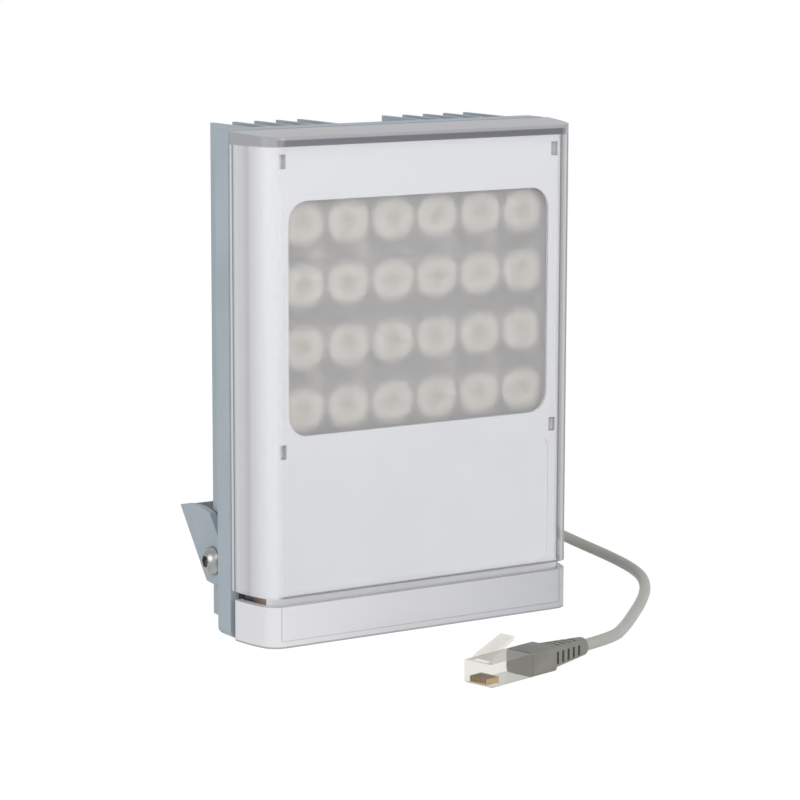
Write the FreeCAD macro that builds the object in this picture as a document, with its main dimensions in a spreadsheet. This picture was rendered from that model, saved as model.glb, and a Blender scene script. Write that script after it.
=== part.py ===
import FreeCAD, Part
import math
import os
import re

import Sketcher

os.makedirs("parts", exist_ok=True)
doc = FreeCAD.newDocument("illuminator")

# White light illuminator: a finned aluminium heatsink carries two lens boards and a driver board
# behind a sealed white frame; a clear cover with a white mask slides over the frame, and a U bracket
# tilts behind. Lengths are in millimetres. X is the width, +Z is up, and the front looks along -Y.
# Pieces are drawn with their depth counted from the front face of the cover, and front_y then
# places them, so that the origin is under the middle of the whole unit without its cord.
SIZES = {
    # Place of the front face
    "front_y": -38.76,
    # Heatsink base plate
    "body_width": 135,
    "body_height": 180,
    "base_front": 22,
    "base_thick": 9,
    "base_corner": 3,
    "pedestal_edge": 0.3,
    "pedestal_rise": 3,
    "recess_side": 3.8,
    "recess_low": 12.5,
    "recess_drop": 0.5,
    "recess_depth": 5,
    # Fins
    "fin_length": 26,
    "fin_thick": 2,
    "fin_tip": 1.5,
    "fin_side": 12.9,
    "fin_inner": 18.1,
    "fins_per_side": 5,
    "fin_low": 1,
    # Bracket pivot
    "pivot_inset": 6.3,
    "pivot_z": 22.2,
    "boss_round": 5.4,
    "pivot_hole_depth": 11,
    # Clear cover: flat front, round corners, bowed sides and a roof that falls to the front
    "side_step": 0.5,
    "side_round": 53,
    "corner_round": 7,
    "cover_clear": 0.4,
    "cover_wall": 2.5,
    "cover_low": 17.7,
    "cover_step": 0.2,
    "roof_fall": 1.2,
    "roof_gap": 0.2,
    "lip_front": 17,
    "lip_thick": 1.2,
    "lip_reach": 1.2,
    "slide_gap": 0.35,
    # Bottom cap
    "cap_low": 2.5,
    "groove_height": 3,
    "cap_clear": 0.4,
    "cap_screw_side": 11.8,
    "cap_screw_y": 12,
    "cap_screw_round": 1.5,
    "cap_screw_head": 2.9,
    "cap_head_depth": 1.6,
    # Sealed inner frame and its window
    "frame_front": 5.4,
    "gasket_thick": 2,
    "frame_wall": 2,
    "frame_side": 10.2,
    "frame_edge": 2.5,
    "frame_screw_side": 2.6,
    "frame_screw_low": 7.5,
    "frame_screw_mid": 92,
    "frame_screw_drop": 5.4,
    "frame_screw_round": 1.5,
    "frame_screw_head": 2.75,
    "frame_screw_head_thick": 2,
    "frame_screw_depth": 7,
    "screw_gap": 0.1,
    "pane_side": 1.8,
    "pane_low": 70.5,
    "pane_drop": 15.9,
    "pane_thick": 1.4,
    "pane_lip": 2.5,
    "pane_gap": 0.1,
    "gasket_edge": 7.6,
    # White mask and diffuser behind the cover
    "mask_gap": 0.3,
    "mask_thick": 1.2,
    "mask_side": 8.1,
    "mask_foot": 0.2,
    "mask_head": 0.5,
    "window_side": 2.2,
    "window_edge": 3.5,
    "window_head": 3.8,
    "window_round": 7.5,
    "panel_side": 1.2,
    "panel_edge": 1.3,
    "panel_drop": 6,
    "panel_round": 4,
    "panel_depth": 0.35,
    "catch_side": 0.2,
    "catch_low_drop": 1.5,
    "catch_high_drop": 5.9,
    "catch_width": 2.4,
    "catch_height": 4.6,
    "catch_gap": 0.2,
    "diffuser_thick": 0.8,
    "diffuser_lap": 2.4,
    # Lens boards
    "lens_gap": 1,
    "lens_row_gap": 0.3,
    "lens_foot": 4.6,
    "lens_rim": 1.4,
    "lens_height": 9.6,
    "lens_dimple": 2.4,
    "lens_dimple_depth": 3,
    "lens_cavity": 2.7,
    "lens_cavity_depth": 2.6,
    "led_width": 3.4,
    "led_thick": 0.8,
    "led_dome": 1.3,
    "board_thick": 1.6,
    "board_split": 0.6,
    "board_side": 1.6,
    "board_edge": 0.8,
    "board_head": 0.7,
    "board_screw_round": 1.5,
    "board_screw_head": 2.75,
    "board_screw_head_thick": 2,
    "board_screw_depth": 5,
    # Driver board and what stands on it
    "driver_edge": 1,
    "driver_lift": 1.8,
    "driver_high": 50,
    "driver_gap": 4,
    "driver_thick": 1.6,
    "standoff_round": 2.6,
    "standoff_edge": 4,
    "standoff_rise": 5,
    "driver_screw_round": 1.3,
    "driver_screw_head": 2.4,
    "capacitor_round": 5,
    "capacitor_height": 12,
    "transformer_size": 18,
    "transformer_height": 12.5,
    "terminal_inset": 4.5,
    "terminal_width": 20,
    "terminal_height": 9,
    "sensor_round": 2.4,
    # Dusk sensor windows in the groove above the bottom cap
    "slit_front": 6.6,
    # Folded bracket
    "sheet": 2.5,
    "bend_round": 1.5,
    "pivot_to_web": 12,
    "web_low": -0.9,
    "web_high": 28.2,
    "arm_nose": 8.7,
    "arm_shoulder": 14.8,
    "arm_bow": 45,
    "rest_tilt": 38,
    "washer_thick": 0.8,
    "washer_round": 6,
    "side_play": 0.05,
    "pivot_play": 0.06,
    "bolt_round": 3,
    "bolt_head": 5.25,
    "bolt_head_thick": 3.3,
    "bolt_length": 12,
    "bolt_socket": 2.3,
    "bolt_socket_depth": 1.9,
    "centre_hole": 4.25,
    "side_hole": 2.75,
    "side_hole_x": 38,
    # Cable gland in the channel between the fins
    "gland_drop": 9.5,
    "gland_thread": 6,
    "gland_bore": 3.4,
    "gland_flats": 8.6,
    "gland_body_thick": 5,
    "gland_spout": 6,
    "gland_tail": 7.3,
    "lock_nut_thick": 3,
    "dome_nut_gap": 0.2,
    "dome_nut_thick": 16.5,
    "dome_nut_hex": 6,
    "dome_nut_end": 5.2,
    "dome_nut_wall": 2.3,
    "dome_nut_mouth": 2.6,
    "seal_round": 4.6,
    "seal_length": 7.5,
    "thread_gap": 0.05,
    # Cord and plug
    "cord_diameter": 4.2,
    "cord_gap": 0.05,
    "plug_length": 21.5,
    "plug_width": 11.7,
    "plug_height": 8,
    "plug_floor": 0.4,
    "plug_x": 21.4,
    "plug_depth": -66.2,
    "latch_width": 6.2,
    "latch_thick": 1.3,
    "latch_length": 14,
    "latch_rise": 5.5,
    "contact_pitch": 1.02,
    "contact_width": 0.4,
    "contact_count": 8,
    "boot_collar": 12,
    "boot_tail": 20,
    "boot_end": 3.2,
    "boot_wall": 0.3,
    "boot_slot_depth": 1.2,
    "boot_post": 1.5,
    "boot_slots": 5,
    "boot_slot_width": 1.3,
    "boot_slot_pitch": 3.2,
    "plug_turn": 194,
}

# What follows from those sizes, each from the ones before it. The lenses stand in six columns and
# four rows.
TIED = {
    "side_x": "body_width / 2 - side_step",
    "cover_rear": "base_front - cover_clear",
    "cover_top": "body_height - cover_step",
    "roof_low": "cover_top - roof_fall - cover_wall",
    "cap_top": "cover_low - groove_height",
    "frame_rear": "base_front - gasket_thick",
    "cap_rear": "frame_rear - cap_clear",
    "frame_top": "roof_low - roof_gap",
    "frame_half": "side_x - frame_side",
    "frame_screw_x": "frame_half + frame_screw_side",
    "frame_screw_high": "frame_top - frame_screw_drop",
    "cap_screw_x": "frame_half - cap_screw_side",
    "pane_open": "frame_half - pane_side",
    "pane_high": "frame_top - pane_drop",
    "mask_half": "side_x - mask_side",
    "mask_low": "cover_low + mask_foot",
    "mask_top": "roof_low - mask_head",
    "window_half": "frame_half - window_side",
    "window_low": "pane_low + window_edge",
    "window_high": "pane_high - window_head",
    "panel_half": "frame_half - panel_side",
    "panel_low": "mask_low + panel_edge",
    "panel_high": "pane_low - panel_drop",
    "catch_x": "frame_half + catch_side",
    "catch_low_z": "pane_low - catch_low_drop",
    "catch_high_z": "frame_top - catch_high_drop",
    "board_half": "frame_half - board_side",
    "board_low": "pane_low + board_edge",
    "board_high": "pane_high - board_head",
    "lens_pitch_x": "(2 * board_half + board_split) / 6",
    "lens_pitch_z": "(board_high - board_low) / 4 - lens_row_gap",
    "lens_middle_z": "(board_low + board_high) / 2",
    "lens_round": "lens_pitch_x / 2 - lens_gap",
    "pedestal_half": "board_half + pedestal_edge",
    "pedestal_low": "board_low - pedestal_edge",
    "pedestal_high": "board_high + pedestal_edge",
    "recess_half": "frame_half - recess_side",
    "recess_high": "pedestal_low - recess_drop",
    "driver_half": "recess_half - driver_edge",
    "driver_low": "recess_low + driver_lift",
    "standoff_x": "driver_half - standoff_edge",
    "standoff_low": "driver_low + standoff_rise",
    "standoff_high": "driver_high - standoff_edge",
    "terminal_x": "driver_half - terminal_inset - terminal_width",
    "fin_outer": "side_x - fin_side",
    "fin_pitch": "(fin_outer - fin_inner) / (fins_per_side - 1)",
    "pivot_y": "base_front + base_thick + fin_length - pivot_inset",
    "pivot_hole": "bolt_round + thread_gap",
    "gland_z": "recess_high - gland_drop",
}

sheet = doc.addObject("Spreadsheet::Sheet", "Sizes")
ENTRIES = dict(SIZES, **{alias: "=" + text for alias, text in TIED.items()})
for row, (alias, entry) in enumerate(ENTRIES.items(), start=1):
    sheet.set("A%d" % row, alias)
    sheet.set("B%d" % row, str(entry))
    sheet.setAlias("B%d" % row, alias)
doc.recompute()

PIECES = []
Vector = FreeCAD.Vector


def full(text):
    """An expression with each size's alias named on the sheet."""
    return re.sub(r"[a-z_0-9]+", lambda word: "Sizes." + word[0] if word[0] in ENTRIES else word[0], text)


def value(text):
    """The number that an expression of sizes comes to."""
    return float(sheet.evalExpression(full(text)))


def bind(thing, **sizes):
    """Ties properties to expressions; a double underscore stands for a point in the name."""
    for name, text in sizes.items():
        thing.setExpression(name.replace("__", "."), full(text))


def piece(thing, node, at=None):
    """Names a finished piece and puts it at its place, with its depth from the front face."""
    x_at, y_at, z_at = at or ("0", "0", "0")
    thing.Label = node
    bind(thing, Placement__Base__x=x_at, Placement__Base__y="front_y + " + y_at, Placement__Base__z=z_at)
    PIECES.append(thing)
    return thing


# Sketches and features

def new_body(name):
    return doc.addObject("PartDesign::Body", name + "_body")


def new_sketch(body, plane, level="0"):
    """A sketch on one of the body's own planes, moved to a level along X, Y or Z."""
    sketch = body.newObject("Sketcher::SketchObject", "outline")
    origin = [p for p in body.Origin.OriginFeatures if p.Role == plane + "_Plane"][0]
    sketch.AttachmentSupport = [(origin, "")]
    sketch.MapMode = "FlatFace"
    lift = "-(" + level + ")" if plane == "XZ" else level
    bind(sketch, AttachmentOffset__Base__z=lift)
    return sketch


def tie(sketch, kind, geometry, point, text):
    """Fixes a point's coordinate or a radius to an expression."""
    entries = (kind, geometry, value(text)) if point is None else (kind, geometry, point, value(text))
    number = sketch.addConstraint(Sketcher.Constraint(*entries))
    sketch.setExpression("Constraints[%d]" % number, full(text))


def outline(sketch, corners):
    """A closed line through corners (x, y); (x, y, radius, side) starts an arc, side +1 turning left."""
    places = [Vector(value(corner[0]), value(corner[1]), 0) for corner in corners]
    ends = []
    for k, corner in enumerate(corners):
        start, end = places[k], places[(k + 1) % len(places)]
        if len(corner) == 2:
            ends.append((sketch.addGeometry(Part.LineSegment(start, end)), 1, 2))
            continue
        radius, side = value(corner[2]), corner[3]
        chord = end - start
        left = Vector(-chord.y, chord.x, 0).normalize()
        reach = math.sqrt(max(radius ** 2 - chord.Length ** 2 / 4, 0))
        centre = start + chord * 0.5 + left * (side * reach)
        turns = [math.atan2(p.y - centre.y, p.x - centre.x) for p in (start, end)]
        if side < 0:
            turns.reverse()
        circle = Part.Circle(centre, Vector(0, 0, 1), radius)
        number = sketch.addGeometry(Part.ArcOfCircle(circle, turns[0], turns[1]))
        ends.append((number, 1, 2) if side > 0 else (number, 2, 1))
        tie(sketch, "Radius", number, None, corner[2])
    for k, (number, first, last) in enumerate(ends):
        following = ends[(k + 1) % len(ends)]
        sketch.addConstraint(Sketcher.Constraint("Coincident", number, last, following[0], following[1]))
        tie(sketch, "DistanceX", number, first, corners[k][0])
        tie(sketch, "DistanceY", number, first, corners[k][1])


def rectangle(sketch, left, right, low, high):
    outline(sketch, [(left, low), (right, low), (right, high), (left, high)])


def round_rectangle(sketch, left, right, low, high, radius):
    """A rectangle with four round corners."""
    in_left, in_right = "%s + (%s)" % (left, radius), "%s - (%s)" % (right, radius)
    in_low, in_high = "%s + (%s)" % (low, radius), "%s - (%s)" % (high, radius)
    outline(sketch, [(in_left, low), (in_right, low, radius, 1),
                     (right, in_low), (right, in_high, radius, 1),
                     (in_right, high), (in_left, high, radius, 1),
                     (left, in_high), (left, in_low, radius, 1)])


def circles(sketch, centres, radius):
    for x_at, y_at in centres:
        middle = Vector(value(x_at), value(y_at), 0)
        number = sketch.addGeometry(Part.Circle(middle, Vector(0, 0, 1), value(radius)))
        tie(sketch, "Radius", number, None, radius)
        tie(sketch, "DistanceX", number, 3, x_at)
        tie(sketch, "DistanceY", number, 3, y_at)


def feature(body, kind, sketch, length, backwards=False):
    """A pad or a pocket of the sketch."""
    made = body.newObject("PartDesign::" + kind, kind.lower())
    made.Profile = sketch
    made.Reversed = backwards
    bind(made, Length=length)
    sketch.Visibility = False
    return made


def pad(body, sketch, length, backwards=False):
    return feature(body, "Pad", sketch, length, backwards)


def pocket(body, sketch, length, backwards=False):
    """A pocket that must take material away."""
    doc.recompute()
    before = body.Shape.Volume
    made = feature(body, "Pocket", sketch, length, backwards)
    doc.recompute()
    if body.Shape.Volume > before - 1e-6:
        raise ValueError("a pocket in %s cut nothing" % body.Name)
    return made


def pattern(body, original, sketch, count, length, backwards=False):
    """Repeats a feature along the sketch's horizontal axis."""
    made = body.newObject("PartDesign::LinearPattern", "pattern")
    made.Originals = [original]
    made.Direction = (sketch, ["H_Axis"])
    made.Reversed = backwards
    bind(made, Length=length, Occurrences=count)
    body.Tip = made
    return made


# Solids made of primitives

ALONG = {"x": FreeCAD.Rotation(Vector(0, 1, 0), 90), "y": FreeCAD.Rotation(Vector(1, 0, 0), -90),
         "z": FreeCAD.Rotation()}


def put(thing, at, along):
    thing.Placement = FreeCAD.Placement(Vector(), ALONG[along])
    bind(thing, Placement__Base__x=at[0], Placement__Base__y=at[1], Placement__Base__z=at[2])
    return thing


def box(at, size):
    made = doc.addObject("Part::Box", "block")
    bind(made, Length=size[0], Width=size[1], Height=size[2])
    return put(made, at, "z")


def rod(at, along, radius, length):
    made = doc.addObject("Part::Cylinder", "rod")
    bind(made, Radius=radius, Height=length)
    return put(made, at, along)


def taper(at, along, first, last, length):
    made = doc.addObject("Part::Cone", "taper")
    bind(made, Radius1=first, Radius2=last, Height=length)
    return put(made, at, along)


def hexagon(at, along, flats, length):
    """A six-sided bar; flats is half its width across the flats."""
    made = doc.addObject("Part::Prism", "hexagon")
    made.Polygon = 6
    bind(made, Circumradius="(%s) / cos(30)" % flats, Height=length)
    return put(made, at, along)


def join(things):
    made = doc.addObject("Part::MultiFuse", "joined")
    made.Shapes = things
    return made


def cut(base, tools):
    made = doc.addObject("Part::Cut", "cut")
    made.Base = base
    made.Tool = tools[0] if len(tools) == 1 else join(tools)
    return made


def group(things):
    made = doc.addObject("Part::Compound", "group")
    made.Links = things
    return made


# Section of the cover: the flat front meets bowed sides in round corners. An inset from the outer
# surface gives the inner surfaces, concentric with it.

BOW_X = "(side_x - side_round)"
CORNER_X = "(" + BOW_X + " + sqrt((side_round - corner_round)^2 - (cover_rear - corner_round)^2))"
FRAME_INSET = "(cover_wall + slide_gap)"


def side_at(inset, depth):
    """Half width of the section at a depth."""
    return "(%s + sqrt((side_round - %s)^2 - (cover_rear - %s)^2))" % (BOW_X, inset, depth)


def half_section(inset, rear):
    """Right half of a section, from the end of its flat front to its rear edge."""
    share = "((side_round - %s) / (side_round - corner_round))" % inset
    return [(CORNER_X, inset, "corner_round - " + inset, 1),
            ("%s + (%s - %s) * %s" % (BOW_X, CORNER_X, BOW_X, share),
             "cover_rear + (corner_round - cover_rear) * " + share, "side_round - " + inset, 1),
            (side_at(inset, rear), rear)]


def flipped(points):
    """The same line on the left side."""
    return [("-(%s)" % p[0], p[1]) + ((p[2], -p[3]) if len(p) > 2 else ()) for p in points]


def backed(points):
    """The same line run from its last point to its first."""
    turned = []
    for k in range(len(points) - 1, -1, -1):
        arc = (points[k - 1][2], -points[k - 1][3]) if k > 0 and len(points[k - 1]) > 2 else ()
        turned.append(points[k][:2] + arc)
    return turned


def wall_outline(sketch, outer, inner):
    """A wall along the front and both sides, between the right halves of two sections."""
    outline(sketch, outer + backed(inner) + flipped(inner) + backed(flipped(outer)))


def full_outline(sketch, right):
    outline(sketch, right + backed(flipped(right)))


# Heatsink: base plate, pedestal for the lens boards, recess for the driver, fins and pivot bosses

PIVOT_FACE = "(fin_outer + fin_thick / 2)"
BASE_REAR = "(base_front + base_thick)"
PEDESTAL_FRONT = "(base_front - pedestal_rise)"
FRAME_SCREWS = [(side + "frame_screw_x", z_at) for side in ("-", "")
                for z_at in ("frame_screw_low", "frame_screw_mid", "frame_screw_high")]
BOARD_SCREWS = [(side + column, "lens_middle_z " + row) for side in ("-", "")
                for column in ("lens_pitch_x", "2 * lens_pitch_x")
                for row in ("- lens_pitch_z", "+ lens_pitch_z")]


def make_heatsink():
    body = new_body("heatsink")
    plate = new_sketch(body, "XZ", "base_front")
    round_rectangle(plate, "-body_width / 2", "body_width / 2", "0", "body_height", "base_corner")
    pad(body, plate, "base_thick", backwards=True)
    pedestal = new_sketch(body, "XZ", "base_front")
    rectangle(pedestal, "-pedestal_half", "pedestal_half", "pedestal_low", "pedestal_high")
    pad(body, pedestal, "pedestal_rise")
    for side, backwards in (("", False), ("-", True)):
        fin = new_sketch(body, "XY", "fin_low")
        root, tip = BASE_REAR + " - 0.5", BASE_REAR + " + fin_length"
        corners = [(side + "(fin_inner - fin_thick / 2)", root), (side + "(fin_inner + fin_thick / 2)", root),
                   (side + "(fin_inner + fin_tip / 2)", tip), (side + "(fin_inner - fin_tip / 2)", tip)]
        outline(fin, corners)
        first = pad(body, fin, "body_height - fin_low")
        doc.recompute()
        pattern(body, first, fin, "fins_per_side", "fin_outer - fin_inner", backwards)
        doc.recompute()
    for side, backwards in (("", True), ("-", False)):
        boss = new_sketch(body, "YZ", side + PIVOT_FACE)
        circles(boss, [("pivot_y", "pivot_z")], "boss_round")
        pad(body, boss, "fin_pitch + fin_thick / 2", backwards)
        hole = new_sketch(body, "YZ", side + PIVOT_FACE)
        circles(hole, [("pivot_y", "pivot_z")], "pivot_hole")
        pocket(body, hole, "pivot_hole_depth", not backwards)
    recess = new_sketch(body, "XZ", "base_front")
    round_rectangle(recess, "-recess_half", "recess_half", "recess_low", "recess_high", "base_corner")
    pocket(body, recess, "recess_depth")
    gland_hole = new_sketch(body, "XZ", "base_front")
    circles(gland_hole, [("0", "gland_z")], "gland_thread + thread_gap")
    pocket(body, gland_hole, "base_thick")
    through = new_sketch(body, "XZ", "base_front")
    circles(through, FRAME_SCREWS, "frame_screw_round + screw_gap")
    pocket(body, through, "base_thick")
    threads = new_sketch(body, "XZ", PEDESTAL_FRONT)
    circles(threads, BOARD_SCREWS, "board_screw_round + thread_gap")
    pocket(body, threads, "board_screw_depth + screw_gap")
    piece(body, "heatsink_housing")


# Sealed front: gasket, white frame and clear pane

def make_gasket():
    body = new_body("gasket")
    ring = new_sketch(body, "XZ", "frame_rear")
    edge = side_at(FRAME_INSET, "frame_rear")
    low, high = "(cap_low + 0.4)", "(frame_top - 0.4)"
    round_rectangle(ring, "-" + edge, edge, low, high, "base_corner")
    round_rectangle(ring, "-%s + gasket_edge" % edge, edge + " - gasket_edge", low + " + gasket_edge",
                    high + " - gasket_edge", "base_corner")
    pad(body, ring, "base_front - frame_rear", backwards=True)
    holes = new_sketch(body, "XZ", "frame_rear")
    circles(holes, FRAME_SCREWS, "frame_screw_round + screw_gap")
    pocket(body, holes, "base_front - frame_rear")
    piece(body, "housing_gasket")


def frame_side():
    """Right side of the frame's section, with the groove that guides the cover's lip."""
    groove_front, groove_rear = "(lip_front - slide_gap)", "(lip_front + lip_thick + slide_gap)"
    groove_floor = side_at("cover_wall", "lip_front") + " - lip_reach - slide_gap"
    bow = "side_round - " + FRAME_INSET
    return [(side_at(FRAME_INSET, "frame_front"), "frame_front", bow, 1),
            (side_at(FRAME_INSET, groove_front), groove_front), (groove_floor, groove_front),
            (groove_floor, groove_rear), (side_at(FRAME_INSET, groove_rear), groove_rear, bow, 1),
            (side_at(FRAME_INSET, "frame_rear"), "frame_rear")]


def make_frame():
    body = new_body("frame")
    shape = new_sketch(body, "XY", "cap_low")
    full_outline(shape, frame_side())
    pad(body, shape, "frame_top - cap_low")
    hollow = new_sketch(body, "XZ", "frame_rear")
    rectangle(hollow, "-frame_half", "frame_half", "cap_low + frame_edge", "frame_top - frame_edge")
    pocket(body, hollow, "frame_rear - frame_front - frame_wall", backwards=True)
    rebate = new_sketch(body, "XZ", "frame_front + frame_wall")
    round_rectangle(rebate, "-pane_open", "pane_open", "pane_low + pane_lip", "pane_high - pane_lip",
                    "window_round")
    pocket(body, rebate, "frame_wall", backwards=True)
    seat = new_sketch(body, "XZ", "frame_front + frame_wall")
    rectangle(seat, "-frame_half", "frame_half", "pane_low - pane_gap", "pane_high + pane_gap")
    pocket(body, seat, "pane_thick", backwards=True)
    threads = new_sketch(body, "XZ", "frame_rear")
    circles(threads, FRAME_SCREWS, "frame_screw_round + thread_gap")
    pocket(body, threads, "frame_screw_depth + screw_gap", backwards=True)
    slits = new_sketch(body, "XY", "cap_top")
    for left, right in (("frame_half", "side_x"), ("-side_x", "-frame_half")):
        rectangle(slits, left, right, "slit_front", "frame_rear + 1")
    pocket(body, slits, "cover_low - cap_top", backwards=True)
    screws = new_sketch(body, "XY", "cap_low")
    circles(screws, [("-cap_screw_x", "cap_screw_y"), ("cap_screw_x", "cap_screw_y")],
            "cap_screw_round + thread_gap")
    pocket(body, screws, "frame_edge", backwards=True)
    piece(body, "inner_frame")


def make_pane():
    body = new_body("pane")
    shape = new_sketch(body, "XZ", "frame_front + frame_wall - pane_thick")
    rectangle(shape, "-frame_half + pane_gap", "frame_half - pane_gap", "pane_low", "pane_high")
    pad(body, shape, "pane_thick", backwards=True)
    piece(body, "inner_window")


def make_sensor_windows():
    for side, node in (("-", "sensor_window_left"), ("", "sensor_window_right")):
        body = new_body(node)
        shape = new_sketch(body, "XY", "cap_top + thread_gap")
        front = "(slit_front + thread_gap)"
        corners = [("frame_half", front),
                   (side_at(FRAME_INSET, front), front, "side_round - " + FRAME_INSET, 1),
                   (side_at(FRAME_INSET, "frame_rear"), "frame_rear"), ("frame_half", "frame_rear")]
        outline(shape, flipped(corners) if side else corners)
        pad(body, shape, "cover_low - cap_top - 2 * thread_gap")
        piece(body, node)


# Sliding front: clear cover, white mask and diffuser, and the fixed cap under them

MASK_FRONT = "(cover_wall + mask_gap)"


def make_cover():
    body = new_body("cover")
    outer = half_section("0", "cover_rear")
    lip_rear = "(lip_front + lip_thick)"
    lip_x = side_at("cover_wall", "lip_front") + " - lip_reach"
    bow = "side_round - cover_wall"
    inner = half_section("cover_wall", "lip_front") + [
        (lip_x, "lip_front"), (lip_x, lip_rear), (side_at("cover_wall", lip_rear), lip_rear, bow, 1),
        (side_at("cover_wall", "cover_rear"), "cover_rear")]
    walls = new_sketch(body, "XY", "cover_low")
    wall_outline(walls, outer, inner)
    pad(body, walls, "roof_low - cover_low")
    roof = new_sketch(body, "XY", "roof_low")
    full_outline(roof, outer)
    pad(body, roof, "cover_top - roof_low")
    fall = new_sketch(body, "YZ", "-side_x")
    outline(fall, [("0", "cover_top - roof_fall"), ("cover_rear", "cover_top"), ("0", "cover_top")])
    pocket(body, fall, "2 * side_x", backwards=True)
    catches = new_sketch(body, "XZ", "cover_wall")
    for side in ("-", ""):
        for height in ("catch_low_z", "catch_high_z"):
            rectangle(catches, side + "catch_x - catch_width / 2", side + "catch_x + catch_width / 2",
                      height + " - catch_height / 2", height + " + catch_height / 2")
    pad(body, catches, "mask_gap + mask_thick + catch_gap", backwards=True)
    piece(body, "front_cover")


def make_mask():
    body = new_body("mask")
    plate = new_sketch(body, "XZ", MASK_FRONT)
    rectangle(plate, "-mask_half", "mask_half", "mask_low", "mask_top")
    pad(body, plate, "mask_thick", backwards=True)
    window = new_sketch(body, "XZ", MASK_FRONT)
    round_rectangle(window, "-window_half", "window_half", "window_low", "window_high", "window_round")
    pocket(body, window, "mask_thick")
    panel = new_sketch(body, "XZ", MASK_FRONT)
    round_rectangle(panel, "-panel_half", "panel_half", "panel_low", "panel_high", "panel_round")
    pocket(body, panel, "panel_depth")
    slots = new_sketch(body, "XZ", MASK_FRONT)
    reach_x, reach_z = "(catch_width / 2 + catch_gap)", "(catch_height / 2 + catch_gap)"
    for side in ("-", ""):
        for height in ("catch_low_z", "catch_high_z"):
            rectangle(slots, side + "catch_x - " + reach_x, side + "catch_x + " + reach_x,
                      height + " - " + reach_z, height + " + " + reach_z)
    pocket(body, slots, "mask_thick")
    piece(body, "mask_plate")


def make_diffuser():
    body = new_body("diffuser")
    sheet_outline = new_sketch(body, "XZ", MASK_FRONT + " + mask_thick")
    half = "(catch_x - catch_width / 2 - 2 * catch_gap)"
    round_rectangle(sheet_outline, "-" + half, half, "window_low - diffuser_lap",
                    "window_high + diffuser_lap", "base_corner")
    pad(body, sheet_outline, "diffuser_thick", backwards=True)
    piece(body, "diffuser_sheet")


def make_cap():
    body = new_body("cap")
    outer = half_section("0", "cap_rear")
    floor = new_sketch(body, "XY")
    full_outline(floor, outer)
    pad(body, floor, "cap_low")
    walls = new_sketch(body, "XY", "cap_low")
    wall_outline(walls, outer, half_section("cover_wall", "cap_rear"))
    pad(body, walls, "cap_top - cap_low")
    places = [("-cap_screw_x", "cap_screw_y"), ("cap_screw_x", "cap_screw_y")]
    holes = new_sketch(body, "XY")
    circles(holes, places, "cap_screw_round + screw_gap")
    pocket(body, holes, "cap_low", backwards=True)
    sinks = new_sketch(body, "XY")
    circles(sinks, places, "cap_screw_head + screw_gap")
    pocket(body, sinks, "cap_head_depth", backwards=True)
    piece(body, "bottom_cap")


# Lens boards, their light-emitting diodes and the moulded lenses

BOARD_FRONT = "(" + PEDESTAL_FRONT + " - board_thick)"
LENS_COLUMNS = ("-2.5", "-1.5", "-0.5", "0.5", "1.5", "2.5")
LENS_ROWS = ("1.5", "0.5", "-0.5", "-1.5")


def lens_place(column, row):
    return column + " * lens_pitch_x", "lens_middle_z + " + row + " * lens_pitch_z"


def make_boards():
    for side, node in (("-", "led_board_left"), ("", "led_board_right")):
        body = new_body(node)
        plate = new_sketch(body, "XZ", BOARD_FRONT)
        edges = [side + "board_split / 2", side + "board_half"]
        if side:
            edges.reverse()
        rectangle(plate, edges[0], edges[1], "board_low", "board_high")
        circles(plate, [place for place in BOARD_SCREWS if place[0].startswith("-") == bool(side)],
                "board_screw_round + screw_gap")
        pad(body, plate, "board_thick", backwards=True)
        piece(body, node)


def make_leds():
    for columns, node in ((LENS_COLUMNS[:3], "leds_left"), (LENS_COLUMNS[3:], "leds_right")):
        packages = []
        for column in columns:
            for row in LENS_ROWS:
                x_at, z_at = lens_place(column, row)
                front = BOARD_FRONT + " - led_thick"
                base = box((x_at + " - led_width / 2", front, z_at + " - led_width / 2"),
                           ("led_width", "led_thick", "led_width"))
                dome = taper((x_at, front + " - led_dome", z_at), "y", "led_dome / 2", "led_dome", "led_dome")
                packages.append(join([base, dome]))
        piece(group(packages), node)


def make_lens(node, column, row):
    """A moulded collimator: dimpled front face, straight rim, tapered skirt and a cavity over the diode."""
    body = new_body(node)
    shape = new_sketch(body, "XY")
    roof = "lens_height - lens_cavity_depth"
    outline(shape, [("0", "lens_dimple_depth"), ("lens_dimple", "0"), ("lens_round", "0"),
                    ("lens_round", "lens_rim"), ("lens_foot", "lens_height"), ("lens_cavity", "lens_height"),
                    ("lens_cavity", roof), ("0", roof)])
    turned = body.newObject("PartDesign::Revolution", "turned")
    turned.Profile = shape
    turned.ReferenceAxis = (shape, ["V_Axis"])
    turned.Angle = 360
    x_at, z_at = lens_place(column, row)
    piece(body, node, (x_at, BOARD_FRONT + " - lens_height", z_at))


def make_lenses():
    for row_number, row in enumerate(LENS_ROWS, start=1):
        for column_number, column in enumerate(LENS_COLUMNS, start=1):
            make_lens("lens_row%d_column%d" % (row_number, column_number), column, row)


# Fasteners

def screw(at, radius, length, head, head_thick, outward):
    """A screw along Y with its head's underside at the place; outward is the head's side."""
    shank_at = (at[0], at[1] if outward < 0 else "%s - (%s)" % (at[1], length), at[2])
    head_at = (at[0], at[1] + " - " + head_thick if outward < 0 else at[1], at[2])
    return join([rod(shank_at, "y", radius, length), rod(head_at, "y", head, head_thick)])


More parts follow.
